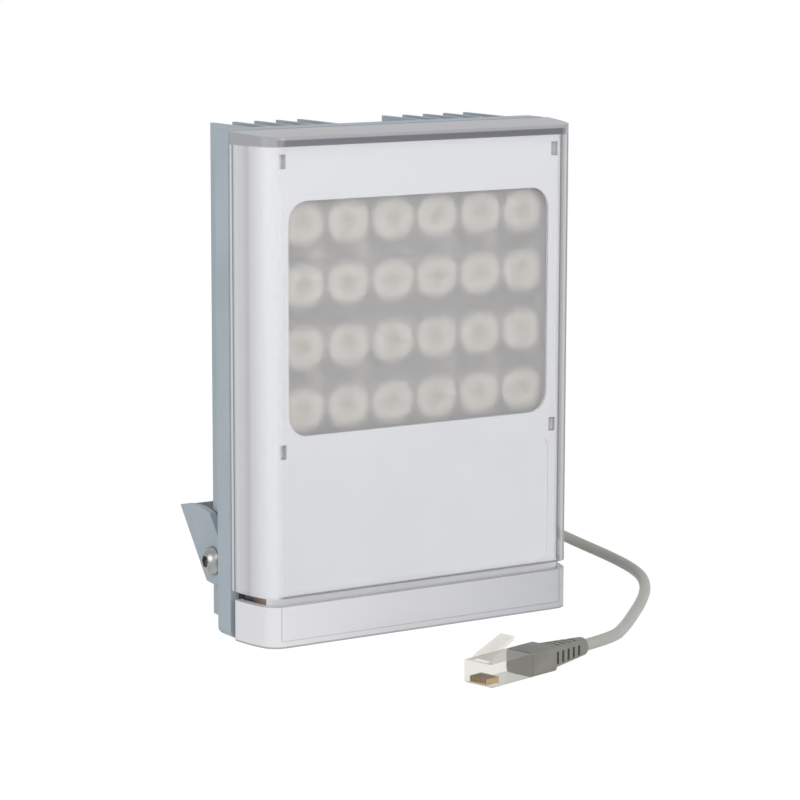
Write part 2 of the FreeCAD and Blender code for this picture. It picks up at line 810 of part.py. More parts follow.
def make_screws():
    boards = [screw((x_at, BOARD_FRONT, z_at), "board_screw_round", "board_thick + board_screw_depth",
                    "board_screw_head", "board_screw_head_thick", -1) for x_at, z_at in BOARD_SCREWS]
    piece(group(boards), "board_screws")
    length = BASE_REAR + " - frame_rear + frame_screw_depth"
    frames = [screw((x_at, BASE_REAR, z_at), "frame_screw_round", length, "frame_screw_head",
                    "frame_screw_head_thick", 1) for x_at, z_at in FRAME_SCREWS]
    piece(group(frames), "frame_screws")
    caps = []
    for side in ("-", ""):
        place = (side + "cap_screw_x", "cap_screw_y", "screw_gap")
        head = rod(place, "z", "cap_screw_head", "cap_head_depth - screw_gap")
        caps.append(join([head, rod(place, "z", "cap_screw_round", "cap_low + frame_edge - screw_gap")]))
    piece(group(caps), "bottom_cap_screws")


# Driver board

DRIVER_REAR = "(base_front + recess_depth - driver_gap)"
DRIVER_FRONT = "(" + DRIVER_REAR + " - driver_thick)"
DRIVER_HOLES = [(side + "standoff_x", z_at) for side in ("-", "")
                for z_at in ("standoff_low", "standoff_high")]


def make_driver():
    plate = box(("-driver_half", DRIVER_FRONT, "driver_low"),
                ("2 * driver_half", "driver_thick", "driver_high - driver_low"))
    holes = [rod((x_at, DRIVER_FRONT, z_at), "y", "driver_screw_round + screw_gap", "driver_thick")
             for x_at, z_at in DRIVER_HOLES]
    piece(group([cut(plate, holes)]), "driver_board")
    standoffs = [cut(rod((x_at, DRIVER_REAR, z_at), "y", "standoff_round", "driver_gap"),
                     [rod((x_at, DRIVER_REAR, z_at), "y", "driver_screw_round + thread_gap", "driver_gap")])
                 for x_at, z_at in DRIVER_HOLES]
    piece(group(standoffs), "driver_standoffs")
    length = "driver_thick + driver_gap - screw_gap"
    screws = [screw((x_at, DRIVER_FRONT, z_at), "driver_screw_round", length, "driver_screw_head",
                    "driver_screw_round", -1) for x_at, z_at in DRIVER_HOLES]
    piece(group(screws), "driver_screws")
    middle = "(driver_low + driver_high) / 2"
    core = box(("-transformer_size / 2", DRIVER_FRONT + " - transformer_height",
                middle + " - transformer_size / 2"),
               ("transformer_size", "transformer_height", "transformer_size"))
    piece(group([core]), "driver_transformer")
    capacitors = [rod((x_at, DRIVER_FRONT + " - capacitor_height", middle), "y", "capacitor_round",
                      "capacitor_height") for x_at in ("-4 * capacitor_round", "-6.5 * capacitor_round",
                                                       "(transformer_size / 2 + terminal_x) / 2")]
    piece(group(capacitors), "driver_capacitors")
    terminal = box(("terminal_x", DRIVER_FRONT + " - terminal_height",
                    middle + " - terminal_height / 2"),
                   ("terminal_width", "terminal_height", "terminal_height"))
    piece(group([terminal]), "driver_terminal")
    sensor_z = "(driver_low + sensor_round)"
    eye_at = ("-driver_half - sensor_round", DRIVER_FRONT + " - 3 * sensor_round", sensor_z)
    eye = rod(eye_at, "x", "sensor_round", "2 * sensor_round")
    leg = rod(("-driver_half + sensor_round / 2", DRIVER_FRONT + " - 3 * sensor_round", sensor_z), "y",
              "sensor_round / 4", "3 * sensor_round")
    piece(group([join([eye, leg])]), "photocell")


# Cable gland in the base, with its cord clamp

GLAND_NUT = "(" + BASE_REAR + " + gland_body_thick + dome_nut_gap)"


def make_gland():
    def along(depth, radius, length):
        return rod(("0", depth, "gland_z"), "y", radius, length)

    tail = BASE_REAR + " - gland_tail"
    whole = "gland_tail + gland_body_thick + gland_spout"
    collar = hexagon(("0", BASE_REAR, "gland_z"), "y", "gland_flats", "gland_body_thick")
    stem = along(tail, "gland_thread", whole)
    piece(group([cut(join([stem, collar]), [along(tail, "gland_bore", whole)])]), "gland_body")
    floor = "base_front + recess_depth - lock_nut_thick"
    nut = hexagon(("0", floor, "gland_z"), "y", "gland_flats", "lock_nut_thick")
    piece(group([cut(nut, [along(floor, "gland_thread + thread_gap", "lock_nut_thick")])]), "gland_lock_nut")
    hexed = hexagon(("0", GLAND_NUT, "gland_z"), "y", "gland_flats", "dome_nut_hex")
    dome = taper(("0", GLAND_NUT + " + dome_nut_hex", "gland_z"), "y", "gland_flats", "dome_nut_end",
                 "dome_nut_thick - dome_nut_hex")
    hollow = [along(GLAND_NUT, "gland_thread + thread_gap", "gland_spout"),
              along(GLAND_NUT, "seal_round + thread_gap", "dome_nut_thick - dome_nut_wall"),
              along(GLAND_NUT, "dome_nut_mouth", "dome_nut_thick")]
    piece(group([cut(join([hexed, dome]), hollow)]), "gland_dome_nut")
    seal_at = GLAND_NUT + " + gland_spout"
    seal = cut(along(seal_at, "seal_round", "seal_length"),
               [along(seal_at, "cord_diameter / 2 + cord_gap", "seal_length")])
    piece(group([seal]), "gland_seal")


# Folded U bracket: the channel is drawn round the pivot, web behind, then its arms are trimmed

ARM_INNER = "(" + PIVOT_FACE + " + washer_thick + side_play)"
ARM_OUTER = "(" + ARM_INNER + " + sheet)"
WEB_MIDDLE = "((web_low + web_high) / 2)"
NOSE_ANGLE = "(atan(web_low / pivot_to_web) - acos(arm_nose / sqrt(pivot_to_web^2 + web_low^2)))"


def make_bracket():
    body = new_body("bracket")
    channel = new_sketch(body, "XY", "-arm_nose - 1")
    ends = "-arm_nose - 1"
    web_inner = "(pivot_to_web - sheet)"
    outer_bend = "(bend_round + sheet)"
    outer = [(ARM_OUTER + " - " + outer_bend, "pivot_to_web", outer_bend, -1),
             (ARM_OUTER, "pivot_to_web - " + outer_bend), (ARM_OUTER, ends)]
    inner = [(ARM_INNER + " - bend_round", web_inner, "bend_round", -1),
             (ARM_INNER, web_inner + " - bend_round"), (ARM_INNER, ends)]
    wall_outline(channel, outer, inner)
    pad(body, channel, "web_high + arm_nose + 1")
    trim = new_sketch(body, "YZ", "-" + ARM_OUTER + " - 1")
    rectangle(trim, "-arm_nose - 4", "pivot_to_web + 4", "-arm_nose - 4", "web_high + 4")
    outline(trim, [("pivot_to_web + 1", "web_high + 1"), ("pivot_to_web - 3", "web_high + 1"),
                   ("pivot_to_web - 3", "web_high", "arm_bow", 1), ("-arm_nose", "arm_shoulder"),
                   ("-arm_nose", "0", "arm_nose", 1),
                   ("arm_nose * cos" + NOSE_ANGLE, "arm_nose * sin" + NOSE_ANGLE),
                   ("pivot_to_web", "web_low"), ("pivot_to_web + 1", "web_low")])
    pocket(body, trim, "2 * (" + ARM_OUTER + " + 1)", backwards=True)
    web_edge = new_sketch(body, "YZ", "-" + ARM_INNER)
    rectangle(web_edge, web_inner + " - bend_round", "pivot_to_web + 1", "-arm_nose - 1", "web_low")
    pocket(body, web_edge, "2 * " + ARM_INNER, backwards=True)
    pivots = new_sketch(body, "YZ", "-" + ARM_OUTER + " - 1")
    circles(pivots, [("0", "0")], "bolt_round + pivot_play")
    pocket(body, pivots, "2 * (" + ARM_OUTER + " + 1)", backwards=True)
    middle_hole = new_sketch(body, "XZ", web_inner + " - 1")
    circles(middle_hole, [("0", WEB_MIDDLE)], "centre_hole")
    pocket(body, middle_hole, "sheet + 2")
    side_holes = new_sketch(body, "XZ", web_inner + " - 1")
    circles(side_holes, [("-side_hole_x", WEB_MIDDLE), ("side_hole_x", WEB_MIDDLE)], "side_hole")
    pocket(body, side_holes, "sheet + 2")
    body.Placement = FreeCAD.Placement(Vector(), FreeCAD.Rotation(Vector(-1, 0, 0), value("rest_tilt")))
    piece(body, "bracket", ("0", "pivot_y", "pivot_z"))
    bind(body, Placement__Rotation__Angle="rest_tilt * 1 deg")


def make_pivot_screws():
    """Button-head screws through the arms into the heatsink's bosses."""
    head_at = ARM_OUTER + " + side_play"
    screws = []
    washers = []
    for side, turn in (("", 0), ("-", 180)):
        body = new_body("pivot_screw")
        shape = new_sketch(body, "XY")
        outline(shape, [("-bolt_length", "0"), ("bolt_head_thick", "0"),
                        ("bolt_head_thick", "bolt_head * 0.55", "bolt_head", 1),
                        ("bolt_head_thick / 5", "bolt_head"), ("0", "bolt_head"), ("0", "bolt_round"),
                        ("-bolt_length", "bolt_round")])
        turned = body.newObject("PartDesign::Revolution", "turned")
        turned.Profile = shape
        turned.ReferenceAxis = (shape, ["H_Axis"])
        turned.Angle = 360
        socket = new_sketch(body, "YZ", "bolt_head_thick")
        corners = [("bolt_socket * cos(%d)" % angle, "bolt_socket * sin(%d)" % angle)
                   for angle in range(0, 360, 60)]
        outline(socket, corners)
        pocket(body, socket, "bolt_socket_depth")
        body.Placement = FreeCAD.Placement(Vector(), FreeCAD.Rotation(Vector(0, 0, 1), turn))
        bind(body, Placement__Base__x=side + "(" + head_at + ")", Placement__Base__y="pivot_y",
             Placement__Base__z="pivot_z")
        screws.append(body)
        washer_at = (PIVOT_FACE if not side else "-" + PIVOT_FACE + " - washer_thick", "pivot_y", "pivot_z")
        washers.append(cut(rod(washer_at, "x", "washer_round", "washer_thick"),
                           [rod(washer_at, "x", "bolt_round + screw_gap", "washer_thick")]))
    piece(group(screws), "bracket_screws")
    piece(group(washers), "bracket_washers")


# Plug and boot, drawn along X from the cord's end of the boot, then turned on the floor

PLUG_REAR = "(boot_tail + boot_collar)"
PLUG_FRONT = "(" + PLUG_REAR + " + plug_length)"


def lay_plug(thing, node):
    thing.Placement = FreeCAD.Placement(Vector(), FreeCAD.Rotation(Vector(0, 0, 1), value("plug_turn")))
    piece(thing, node, ("plug_x", "plug_depth", "plug_floor"))
    bind(thing, Placement__Rotation__Angle="plug_turn * 1 deg")


def make_plug():
    body = new_body("plug")
    side = new_sketch(body, "XZ", "plug_width / 2")
    outline(side, [(PLUG_REAR, "0"), (PLUG_FRONT + " - 0.8", "0"), (PLUG_FRONT, "0.8"),
                   (PLUG_FRONT, "plug_height"), (PLUG_REAR, "plug_height")])
    pad(body, side, "plug_width")
    root = PLUG_FRONT + " - 1"
    tip = root + " - latch_length"
    latch = new_sketch(body, "XZ", "latch_width / 2")
    outline(latch, [(root, "plug_height - 0.5"), (root, "plug_height + latch_thick"),
                    (root + " - latch_thick", "plug_height + latch_thick * 1.6"),
                    (tip, "plug_height + latch_rise + latch_thick"), (tip, "plug_height + latch_rise"),
                    (root + " - 2 * latch_thick", "plug_height + latch_thick / 2"),
                    (root + " - 2 * latch_thick", "plug_height - 0.5")])
    pad(body, latch, "latch_width")
    slots = new_sketch(body, "XY")
    for k in range(int(value("contact_count"))):
        at = "(%d - (contact_count - 1) / 2) * contact_pitch" % k
        rectangle(slots, PLUG_FRONT + " - 6.5", PLUG_FRONT + " + 1", at + " - contact_width / 2 - thread_gap",
                  at + " + contact_width / 2 + thread_gap")
    pocket(body, slots, "plug_height / 3", backwards=True)
    lay_plug(body, "plug_body")
    blades = []
    for k in range(int(value("contact_count"))):
        at = "(%d - (contact_count - 1) / 2) * contact_pitch" % k
        blades.append(box((PLUG_FRONT + " - 6.3", at + " - contact_width / 2", "plug_height / 12"),
                          ("5.8", "contact_width", "plug_height / 4")))
    lay_plug(group(blades), "plug_contacts")


def make_boot():
    body = new_body("boot")
    half_width, half_height = "(plug_width / 2 + boot_wall)", "(plug_height / 2 + boot_wall)"
    middle = "plug_height / 2"
    collar = new_sketch(body, "YZ", "boot_tail")
    round_rectangle(collar, "-" + half_width, half_width, middle + " - " + half_height,
                    middle + " + " + half_height, "1.5")
    pad(body, collar, "boot_collar")
    doc.recompute()
    wide = new_sketch(body, "YZ", "boot_tail")
    round_rectangle(wide, "-%s + 0.8" % half_width, half_width + " - 0.8",
                    middle + " - %s + 0.6" % half_height, middle + " + %s - 0.6" % half_height, "1.5")
    narrow = new_sketch(body, "YZ", "0")
    round_rectangle(narrow, "-boot_end", "boot_end", middle + " - boot_end", middle + " + boot_end",
                    "boot_end - 0.2")
    loft = body.newObject("PartDesign::AdditiveLoft", "tail")
    loft.Profile = wide
    loft.Sections = [narrow]
    loft.Ruled = True
    doc.recompute()
    for k in range(int(value("boot_slots"))):
        at = "boot_tail - %d * boot_slot_pitch - boot_slot_width - 1" % k
        reach_y = "(boot_end + (%s - 0.8 - boot_end) * (%s) / boot_tail)" % (half_width, at)
        reach_z = "(boot_end + (%s - 0.6 - boot_end) * (%s) / boot_tail)" % (half_height, at)
        slot = new_sketch(body, "YZ", at)
        for direction in (1, -1):
            spans = [(str(direction) + " * (" + reach_y + " - boot_slot_depth)", str(direction) + " * 12"),
                     (middle + " - %s + boot_post" % reach_z, middle + " + %s - boot_post" % reach_z)]
            rectangle(slot, *(spans[0] if direction > 0 else spans[0][::-1]), *spans[1])
            spans = [("-%s + boot_post" % reach_y, reach_y + " - boot_post"),
                     (middle + " + %d * (%s - boot_slot_depth)" % (direction, reach_z),
                      middle + " + %d * 12" % direction)]
            rectangle(slot, *spans[0], *(spans[1] if direction > 0 else spans[1][::-1]))
        pocket(body, slot, "boot_slot_width", backwards=True)
    lay_plug(body, "plug_boot")


# Cord: points of its route, with the depth counted from the front face as elsewhere

ROUTE = [
    (0, 23.7, 61), (0, 71, 61), (17, 97, 57), (56, 110, 42), (96, 101, 20), (119, 77, 6),
    (122, 47, 2.2), (114, 22, 2.2), (101, 2, 2.2), (86, -15, 2.2), (70, -31, 2.2),
    (54, -47, 2.8), (37.99, -62.06, 4.4), (21.4, -66.2, 4.4),
]
ARC_SHARE = 0.45


def make_cord():
    """Straight runs joined by tangent arcs, each as large as its two runs allow."""
    points = [Vector(*point) for point in ROUTE]
    points[0].z = points[1].z = value("gland_z")
    edges = []
    here = points[0]
    for before, corner, after in zip(points, points[1:], points[2:]):
        back, ahead = (before - corner), (after - corner)
        reach = ARC_SHARE * min(back.Length, ahead.Length)
        back.normalize()
        ahead.normalize()
        half_turn = (math.pi - back.getAngle(ahead)) / 2
        radius = reach / math.tan(half_turn)
        print("cord bend radius %.1f mm" % radius)
        first, last = corner + back * reach, corner + ahead * reach
        inward = (back + ahead).normalize()
        centre = corner + inward * (radius / math.cos(half_turn))
        edges.append(Part.LineSegment(here, first).toShape())
        edges.append(Part.Arc(first, centre - inward * radius, last).toShape())
        here = last
    edges.append(Part.LineSegment(here, points[-1]).toShape())
    path = Part.Wire(edges)
    radius = value("cord_diameter") / 2
    ring = Part.Wire(Part.makeCircle(radius, points[0], points[1] - points[0]))
    tube = path.makePipeShell([ring], True, False)
    expected = math.pi * radius ** 2 * path.Length
    print("cord length %.1f mm, volume %.1f of %.1f" % (path.Length, tube.Volume, expected))
    if abs(tube.Volume - expected) > 0.01 * expected:
        raise ValueError("the cord's tube isn't its section times its length")
    cord = doc.addObject("Part::Feature", "cord")
    cord.Shape = tube
    piece(cord, "cord")


make_heatsink()
make_gasket()
make_frame()
make_pane()
make_sensor_windows()
make_cover()
make_mask()
make_diffuser()
make_cap()
make_boards()
make_leds()
make_lenses()
make_screws()
make_driver()
make_gland()
make_bracket()
make_pivot_screws()
make_plug()
make_boot()
make_cord()
doc.recompute()

for thing in doc.Objects:
    if "Invalid" in thing.State or "Error" in thing.State:
        raise ValueError("%s failed: %s" % (thing.Label, thing.State))
for thing in PIECES:
    if thing.Shape.isNull() or not thing.Shape.isValid():
        raise ValueError("%s has no valid shape" % thing.Label)
for thing in PIECES:
    thing.Shape.exportStep("parts/%s.step" % thing.Label)
print("%d pieces" % len(PIECES))
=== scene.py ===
import bpy
import math
from mathutils import Euler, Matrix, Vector


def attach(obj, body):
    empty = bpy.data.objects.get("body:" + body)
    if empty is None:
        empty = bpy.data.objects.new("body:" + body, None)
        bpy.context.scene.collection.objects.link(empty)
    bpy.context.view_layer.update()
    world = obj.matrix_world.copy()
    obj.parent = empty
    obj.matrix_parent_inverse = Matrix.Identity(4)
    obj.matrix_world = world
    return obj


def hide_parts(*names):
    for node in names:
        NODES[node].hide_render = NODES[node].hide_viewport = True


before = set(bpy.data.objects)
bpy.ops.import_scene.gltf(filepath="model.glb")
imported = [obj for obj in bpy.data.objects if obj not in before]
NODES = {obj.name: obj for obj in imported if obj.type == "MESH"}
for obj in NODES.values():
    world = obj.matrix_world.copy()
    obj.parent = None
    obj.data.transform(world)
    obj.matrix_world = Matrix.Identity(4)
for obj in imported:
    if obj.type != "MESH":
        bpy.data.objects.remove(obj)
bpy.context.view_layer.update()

MM = 0.001
FRONT = -38.76  # the front of the cover on the frame's Y, in millimetres: depths are counted from it


# Camera: a long lens, from the front left and slightly above

LENS = 137.75
CAMERA_AT = (-0.5855, -0.9385, 0.2579)
CAMERA_YAW = 32.57
CAMERA_PITCH = 9.25
CAMERA_ROLL = 0.14

camera = bpy.data.objects.new("camera", bpy.data.cameras.new("camera"))
camera.data.lens = LENS
camera.data.sensor_width = 36
camera.data.clip_start = 0.05
camera.location = CAMERA_AT
aim = Euler((math.radians(90 - CAMERA_PITCH), 0, math.radians(-CAMERA_YAW)), "XYZ").to_matrix()
camera.rotation_euler = (aim @ Euler((0, 0, math.radians(CAMERA_ROLL))).to_matrix()).to_euler()
bpy.context.collection.objects.link(camera)
bpy.context.scene.camera = camera
bpy.context.scene.view_settings.view_transform = "Standard"


# Shader helpers

def linear(colour):
    """An sRGB hex colour as the linear values that shaders take."""
    parts = [int(colour[k:k + 2], 16) / 255 for k in (1, 3, 5)]
    return [p / 12.92 if p <= 0.04045 else ((p + 0.055) / 1.055) ** 2.4 for p in parts] + [1]


def add(tree, kind, inputs=None, stops=(), **settings):
    """Adds a node. Each input is a number, a hex colour or the socket that feeds it. Stops fill a ramp."""
    node = tree.nodes.new("ShaderNode" + kind)
    for name, setting in settings.items():
        setattr(node, name, setting)
    for name, source in (inputs or {}).items():
        if isinstance(source, bpy.types.NodeSocket):
            tree.links.new(source, node.inputs[name])
        else:
            node.inputs[name].default_value = linear(source) if isinstance(source, str) else source
    if stops:
        elements = node.color_ramp.elements
        elements.remove(elements[1])
        elements[0].position = stops[0][0]
        elements[0].color = linear(stops[0][1])
        for place, colour in stops[1:]:
            elements.new(place).color = linear(colour)
    return node


def new_material(name):
    made = bpy.data.materials.new(name)
    made.use_nodes = True
    made.node_tree.nodes.clear()
    return made, made.node_tree


def close(tree, shader):
    add(tree, "OutputMaterial", {"Surface": shader})


def close_passing(tree, shader, through, share=1.0):
    """Ends a finish that lets a share of the light pass it, so that its shadow is weak or gone."""
    passing = add(tree, "LightPath").outputs["Is Shadow Ray"]
    if share < 1:
        passing = add(tree, "Math", {0: passing, 1: share}, operation="MULTIPLY").outputs[0]
    close(tree, add(tree, "MixShader", {0: passing, 1: shader, 2: through}).outputs["Shader"])


def position(tree):
    """The place on the part along X, Y and Z, in metres: every node's own frame is the part's."""
    return add(tree, "SeparateXYZ", {"Vector": add(tree, "TexCoord").outputs["Object"]}).outputs


def grain(tree, size, strength, depth=0.05 * MM):
    """A fine bump. The width of its pattern and its depth are in metres."""
    place = add(tree, "TexCoord").outputs["Object"]
    pattern = add(tree, "TexNoise", {"Vector": place, "Scale": 1 / size, "Detail": 2}).outputs["Fac"]
    return add(tree, "Bump", {"Height": pattern, "Strength": strength, "Distance": depth}).outputs["Normal"]


def mottle(tree, size, dark, light):
    """A colour that wanders between two close tones over the size, in metres."""
    place = add(tree, "TexCoord").outputs["Object"]
    pattern = add(tree, "TexNoise", {"Vector": place, "Scale": 1 / size, "Detail": 3}).outputs["Fac"]
    return add(tree, "ValToRGB", {"Fac": pattern}, [(0.35, dark), (0.65, light)]).outputs["Color"]


def opaque(name, dark, light, size, roughness, bump=0.1, bump_size=0.4 * MM, metallic=0.0):
    """An opaque finish with a slight drift of tone and a fine grain."""
    made, tree = new_material(name)
    close(tree, add(tree, "BsdfPrincipled", {
        "Base Color": mottle(tree, size, dark, light), "Roughness": roughness, "Metallic": metallic,
        "Normal": grain(tree, bump_size, bump)}).outputs["BSDF"])
    return made


def off_strip(tree, height):
    """How far a height is from the middle of the nearest strip between two lens rows, in metres."""
    above = add(tree, "Math", {0: height, 1: ROWS_MIDDLE}, operation="SUBTRACT").outputs[0]
    return add(tree, "Math", {0: above, 1: ROW_PITCH / 2}, operation="PINGPONG").outputs[0]


def grazing(tree, low, high):
    """A number that rises from 0 to 1 as the eye comes to run along a clear wall."""
    facing = add(tree, "LayerWeight", {"Blend": 0.5}).outputs["Facing"]
    return add(tree, "MapRange", {"Value": facing, "From Min": low, "From Max": high}).outputs["Result"]


def polish(tree, body, gloss, ior, most):
    """Mirror gloss on the outer faces of a clear wall only, since the light inside a thin wall goes on."""
    inner = add(tree, "NewGeometry").outputs["Backfacing"]
    outer = add(tree, "MapRange", {"Value": inner, "To Min": most, "To Max": 0}).outputs["Result"]
    fresnel = add(tree, "Fresnel", {"IOR": ior}).outputs["Fac"]
    share = add(tree, "Math", {0: fresnel, 1: outer}, operation="MULTIPLY").outputs[0]
    return add(tree, "MixShader", {0: share, 1: body, 2: gloss}).outputs["Shader"]


def seen_as_background(tree):
    """1 for the rays that show the background: from the camera, off a mirror or through glass."""
    path = add(tree, "LightPath").outputs
    shown = add(tree, "Math", {0: path["Is Camera Ray"], 1: path["Is Glossy Ray"]}, operation="MAXIMUM")
    return add(tree, "Math", {0: shown.outputs[0], 1: path["Is Transmission Ray"]},
               operation="MAXIMUM").outputs[0]


# Powder-coated aluminium: pale blue-grey, satin, with the fine pebble of a baked powder
POWDER_COAT = opaque("powder_coated_aluminium", "#9FABB3", "#A8B3BB", 30 * MM, 0.5, 0.25, 0.5 * MM)

# Bead-blasted stainless steel: a soft grey metal that picks up the lamps as broad highlights
STAINLESS = opaque("stainless_steel", "#8B8C8C", "#A5A6A5", 3 * MM, 0.3, 0.2, 0.3 * MM, metallic=1)

# White moulded ABS: even, very faintly cool white with a soft sheen
WHITE_ABS = opaque("white_abs", "#E0E1E4", "#E3E4E7", 40 * MM, 0.42, 0.01, 0.6 * MM)

# Green solder mask of the driver board: deep green, smooth, slightly glossy
GREEN_BOARD = opaque("green_solder_mask", "#1F5A38", "#276844", 12 * MM, 0.35, 0.05)

# Cast phosphor of the light packages: warm yellow and nearly glossy
PHOSPHOR = opaque("led_phosphor", "#E3C766", "#E8CF77", 2 * MM, 0.3, 0.05)

# Moulded silicone rubber of the seals: near black and dull
SILICONE = opaque("silicone_rubber", "#2A2B2D", "#313235", 8 * MM, 0.65, 0.1)

# Turned brass of the standoffs: yellow metal with a soft shine
BRASS = opaque("turned_brass", "#B69245", "#C3A052", 3 * MM, 0.3, 0.1, metallic=1)

# Moulded phenolic of the transformer: black and matt
BLACK_PHENOLIC = opaque("black_phenolic", "#1B1B1C", "#222223", 5 * MM, 0.5, 0.1)

# Shrunk PVC sleeve of the capacitors: dark blue-black, smooth and glossy
SLEEVE = opaque("pvc_sleeve", "#1D2433", "#232B3D", 5 * MM, 0.3, 0.05)

# Moulded nylon of the terminal block: mid green with a dull sheen
GREEN_NYLON = opaque("green_nylon", "#2F7048", "#367A50", 8 * MM, 0.45, 0.1)

# Cast epoxy of the photocell: amber, smooth and glossy
AMBER = opaque("amber_epoxy", "#B4692A", "#C07533", 3 * MM, 0.2, 0.02)

# Grey moulded nylon of the cable gland: matt with a faint mould grain
GLAND_NYLON = opaque("grey_nylon", "#7C8083", "#85898C", 8 * MM, 0.5, 0.15)

# Soft PVC jacket of the cord: warm light grey with a low waxy sheen
JACKET = opaque("grey_pvc_jacket", "#ACACA5", "#B4B4AD", 25 * MM, 0.45, 0.1, 0.5 * MM)

# Soft PVC of the boot: darker warm grey, matt
BOOT_PVC = opaque("grey_pvc_boot", "#7D7C75", "#86857E", 10 * MM, 0.55, 0.15, 0.4 * MM)

# Gold-plated phosphor bronze of the contacts: bright yellow metal, almost polished
GOLD = opaque("gold_plate", "#C9A24A", "#D6B25C", 2 * MM, 0.22, 0.02, metallic=1)

# Solder mask on the lens boards: white round the lenses, with painted shade as dark strips between their
# rows, and that painted shade paler towards the joint of the boards
ROW_PITCH = 21.7 * MM
ROWS_MIDDLE = 115.3 * MM
STRIP_SOLID, STRIP_END = 4 * MM, 7 * MM
JOINT_GLOW = 30 * MM
LENS_BOARD_PAINTED_SHADE, tree = new_material("white_solder_mask_and_painted_shade")
place = position(tree)
across = add(tree, "Math", {0: place["X"]}, operation="ABSOLUTE").outputs[0]
row_gap_shade = add(tree, "MapRange", {"Value": off_strip(tree, place["Z"]), "From Min": STRIP_SOLID,
                               "From Max": STRIP_END, "To Min": 1, "To Max": 0}).outputs["Result"]
far = add(tree, "MapRange", {"Value": across, "From Max": JOINT_GLOW}).outputs["Result"]
# painted shade: dark strips between the lens rows, darkest far from the joint of the boards and paler
# towards it
painted_strip_shade = add(tree, "Mix", {0: far, 6: "#4E4E54", 7: "#1A1A20"}, data_type="RGBA").outputs[2]
solder_mask_and_shade = add(tree, "Mix", {0: row_gap_shade, 6: "#E2E2E4", 7: painted_strip_shade}, data_type="RGBA").outputs[2]
close(tree, add(tree, "BsdfPrincipled", {"Base Color": solder_mask_and_shade, "Roughness": 0.35,
                                         "Normal": grain(tree, 0.4 * MM, 0.05)}).outputs["BSDF"])

# Dark tinted polycarbonate over the dusk sensor: near black, with a painted brown reflection towards the
# front
REFLECTION_FRONT, REFLECTION_REAR = -31.5 * MM, -25 * MM
TINTED, tree = new_material("tinted_polycarbonate")
behind = add(tree, "MapRange", {"Value": position(tree)["Y"], "From Min": REFLECTION_FRONT,
                                "From Max": REFLECTION_REAR}).outputs["Result"]
# painted reflection: brown at the front, fading to the near black tint towards the rear
smoke_and_painted_reflection = add(tree, "Mix", {0: behind, 6: "#8A6E60", 7: "#17110F"}, data_type="RGBA").outputs[2]
close(tree, add(tree, "BsdfPrincipled", {"Base Color": smoke_and_painted_reflection, "Roughness": 0.12,
                                         "Normal": grain(tree, 0.4 * MM, 0.02)}).outputs["BSDF"])

# Clear polycarbonate of the sliding cover: polished and colourless with a faint haze. Its side walls are
# milky, with soft upright bands painted on them: painted shade lines and paler painted light for the guide
# lip and the groove behind them. Where the eye runs along a wall it turns to a painted grey shade. The solid
# roof slab's edge is a painted grey shade band under a painted pale highlight rim, which falls to the front
# with the roof, and its top is a flat grey
SLAB_FOOT, SLAB_BLEND = 175.0 * MM, 0.3 * MM
RIM_FOOT, RIM_BLEND = 177.3 * MM, 0.4 * MM
ROOF_FALL = 1.2 * MM
COVER_DEPTH = 22
SIDE_TURN = {"From Min": 0.1, "From Max": 0.45}
FACE_HAZE, SIDE_HAZE = 0.08, 0.78
WALL_HAZE = 0.9
# painted shade and light: dark lines and pale stripes by depth stand for the shade and lit edges of the lip
# and groove behind the wall
WALL_PAINTED_BANDS = [(0.0, "#E6E7EA"), (0.25, "#E8E9EB"), (0.42, "#DADADD"), (0.52, "#BEBEC3"), (0.62, "#D2D2D6"),
              (0.82, "#E4E4E8"), (0.87, "#CCCCD0"), (0.89, "#86878E"), (0.915, "#86878E"), (0.93, "#EAEAEC")]
COVER_PC, tree = new_material("clear_polycarbonate")
place = position(tree)
normal = add(tree, "SeparateXYZ", {"Vector": add(tree, "NewGeometry").outputs["Normal"]}).outputs
upward = add(tree, "MapRange", {"Value": normal["Z"], "From Min": 0.5, "From Max": 0.9}).outputs["Result"]
slab = add(tree, "MapRange", {"Value": place["Z"], "From Min": SLAB_FOOT,
                              "From Max": SLAB_FOOT + SLAB_BLEND}).outputs["Result"]
along = grazing(tree, 0.48, 0.72)
sideways = add(tree, "Math", {0: normal["X"]}, operation="ABSOLUTE").outputs[0]
side = add(tree, "MapRange", {"Value": sideways, **SIDE_TURN}).outputs["Result"]
half = add(tree, "Math", {0: place["X"]}, operation="SIGN").outputs[0]
outward = add(tree, "Math", {0: normal["X"], 1: half}, operation="MULTIPLY").outputs[0]
outside = add(tree, "MapRange", {"Value": outward, **SIDE_TURN}).outputs["Result"]
deep = add(tree, "MapRange", {"Value": place["Y"], "From Min": FRONT * MM,
                              "From Max": (FRONT + COVER_DEPTH) * MM}).outputs["Result"]
rise = add(tree, "Math", {0: deep, 1: ROOF_FALL}, operation="MULTIPLY").outputs[0]
level = add(tree, "Math", {0: place["Z"], 1: rise}, operation="SUBTRACT").outputs[0]
rim_highlight = add(tree, "MapRange", {"Value": level, "From Min": RIM_FOOT,
                             "From Max": RIM_FOOT + RIM_BLEND}).outputs["Result"]
painted_bands = add(tree, "ValToRGB", {"Fac": deep}, WALL_PAINTED_BANDS).outputs["Color"]
wall = add(tree, "Mix", {0: outside, 6: "#DEDFE2", 7: painted_bands}, data_type="RGBA").outputs[2]
# painted shade: the wall turns grey where the eye runs along it
wall = add(tree, "Mix", {0: along, 6: wall, 7: "#6F7077"}, data_type="RGBA").outputs[2]
